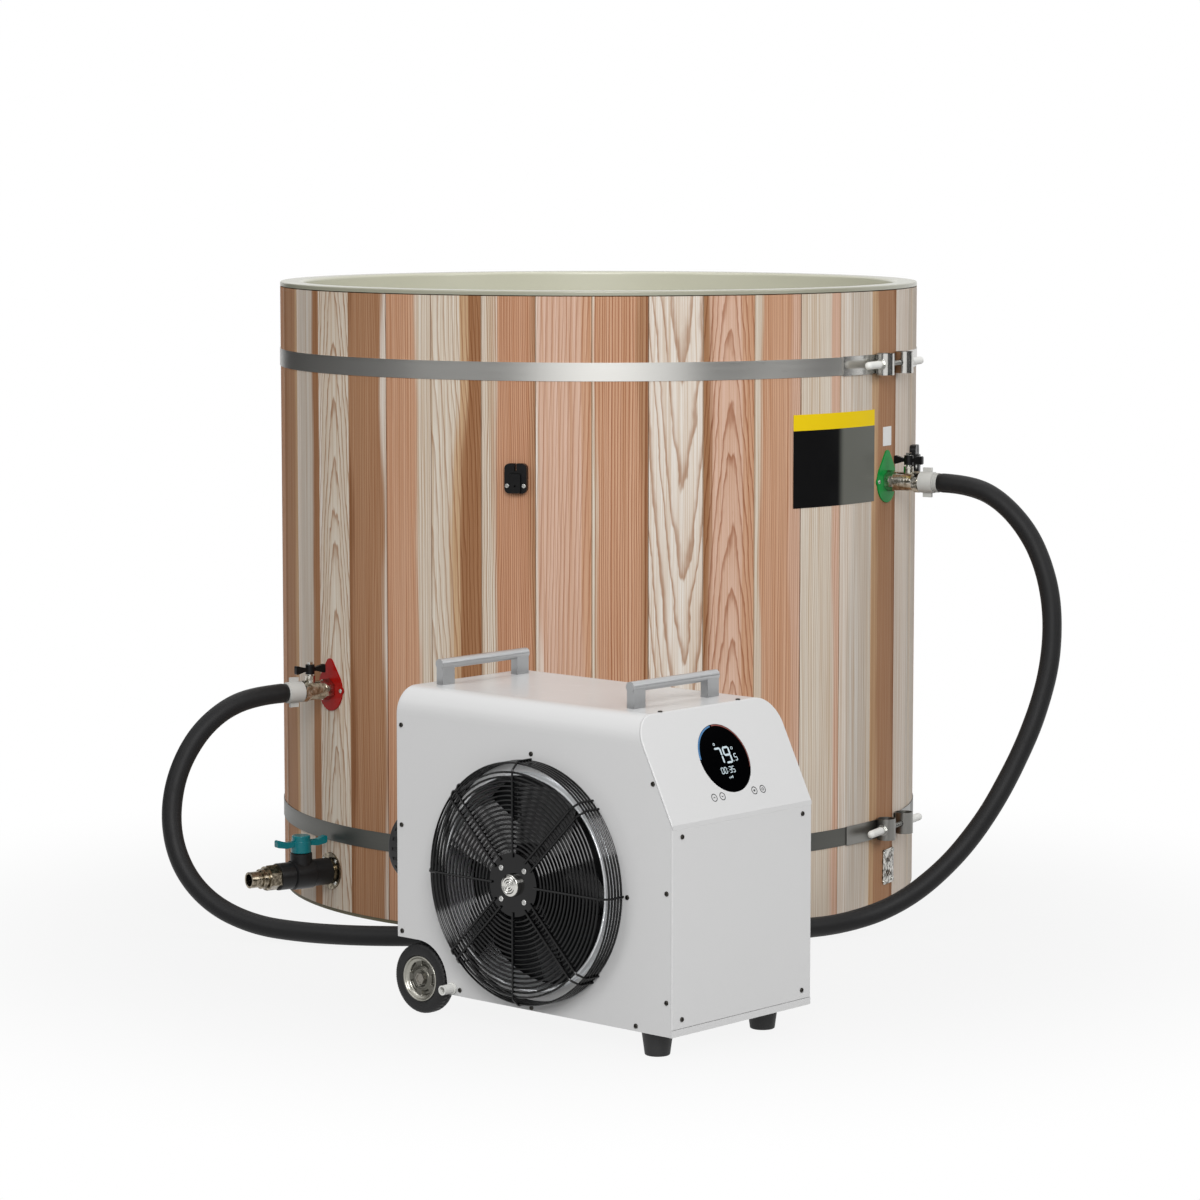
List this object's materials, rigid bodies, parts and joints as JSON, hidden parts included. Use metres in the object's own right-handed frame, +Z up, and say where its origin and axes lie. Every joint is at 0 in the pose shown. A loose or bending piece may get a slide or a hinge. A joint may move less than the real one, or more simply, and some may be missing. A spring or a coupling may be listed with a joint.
{
  "type": "barrel cold plunge tub",
  "caption": "Round wooden barrel tub for cold plunges, with steel hoops, a wheeled water chiller, hoses and ball valves.",
  "frame": {"origin": "on the floor under the middle of the tub's round base", "axes": "+Z up along the tub's axis; -Y towards the side that the chiller stands on, as the picture shows it; +X to the right seen from there"},
  "size_m": [1.4348, 1.9477, 1.0195],
  "materials": {
    "pale_wood": "bare softwood, planed",
    "board": "sealed edge",
    "foam": "closed-cell foam",
    "acrylic": "gloss",
    "stainless": "satin",
    "bright_steel": "polished",
    "white_rubber": "soft satin",
    "black_plastic": "satin",
    "label": "satin film",
    "red_enamel": "gloss",
    "green_enamel": "gloss",
    "nickel": "nickel plated",
    "grey_nylon": "satin",
    "teal_plastic": "satin",
    "hose_foam": "soft satin wrap",
    "white_paint": "gloss",
    "black_wire": "gloss",
    "black_glass": "gloss",
    "coil": "raw fins",
    "copper_can": "satin",
    "satin_aluminium": "satin",
    "white_plastic": "satin",
    "tyre": "moulded tread",
    "dark_screw": "plated",
    "circuit": "circuit board"
  },
  "bodies": {
    "body": {"base_plate": "board", "foam_insulation": "foam", "tub_liner": "acrylic", "staves": "pale_wood", "bored_staves": "pale_wood", "hoop_straps": "stainless", "clamp_brackets": "stainless", "clamp_bolts": "bright_steel", "clamp_nuts": "bright_steel", "clamp_caps": "white_rubber", "latch_receivers": "black_plastic", "label_panels": "label", "vent_plate": "bright_steel", "fitting_screws": "bright_steel", "outlet_plate": "red_enamel", "outlet_wall_fitting": "nickel", "outlet_valve_body": "nickel", "outlet_union": "grey_nylon", "inlet_plate": "green_enamel", "inlet_wall_fitting": "nickel", "inlet_valve_body": "nickel", "inlet_union": "grey_nylon", "drain_flange": "stainless", "drain_wall_fitting": "stainless", "drain_valve_body": "black_plastic", "drain_nipple": "nickel", "outlet_hose": "hose_foam", "inlet_hose": "hose_foam", "wrap_shell": "white_paint", "end_panel": "white_paint", "display_panel": "white_paint", "left_panel": "white_paint", "base_pan": "white_paint", "display_glass": "black_glass", "fan_grille": "black_wire", "fan_motor": "bright_steel", "condenser_coil": "coil", "compressor": "copper_can", "heat_exchanger": "copper_can", "water_pump": "black_plastic", "filter_housing": "white_plastic", "filter_cap": "black_plastic", "hose_ports": "nickel", "condensate_nozzle": "white_plastic", "power_inlet": "black_plastic", "left_handle": "satin_aluminium", "right_handle": "satin_aluminium", "panel_screws": "dark_screw", "control_board": "circuit", "wheel_axle": "bright_steel", "rubber_feet": "black_plastic"},
    "outlet_valve": {"outlet_ball_stem": "bright_steel", "outlet_handle": "black_plastic"},
    "inlet_valve": {"inlet_ball_stem": "bright_steel", "inlet_handle": "black_plastic"},
    "drain_valve": {"drain_ball_stem": "grey_nylon", "drain_handle": "teal_plastic"},
    "fan": {"fan_rotor": "black_plastic"},
    "front_wheel_body": {"front_wheel": "tyre"},
    "rear_wheel_body": {"rear_wheel": "tyre"}
  },
  "joints": [
    {"name": "outlet_turn", "type": "hinge", "parent": "body", "child": "outlet_valve", "pos_m": [-0.46696, -0.33431, 0.402], "axis": [0, 0, 1], "range_deg": [0, 90]},
    {"name": "inlet_turn", "type": "hinge", "parent": "body", "child": "inlet_valve", "pos_m": [0.50374, -0.27579, 0.737], "axis": [0, 0, 1], "range_deg": [0, 90]},
    {"name": "drain_turn", "type": "hinge", "parent": "body", "child": "drain_valve", "pos_m": [-0.48334, -0.34096, 0.117], "axis": [0, 0, 1], "range_deg": [0, 90]},
    {"name": "fan_spin", "type": "hinge", "parent": "body", "child": "fan", "pos_m": [-0.09677, -1.23955, 0.221], "axis": [0.6717, 0.7408, 0], "continuous": true},
    {"name": "front_wheel_spin", "type": "hinge", "parent": "body", "child": "front_wheel_body", "pos_m": [-0.24985, -1.07712, 0.051], "axis": [0.6717, 0.7408, 0], "continuous": true},
    {"name": "rear_wheel_spin", "type": "hinge", "parent": "body", "child": "rear_wheel_body", "pos_m": [-0.06714, -0.87562, 0.051], "axis": [0.6717, 0.7408, 0], "continuous": true}
  ]
}
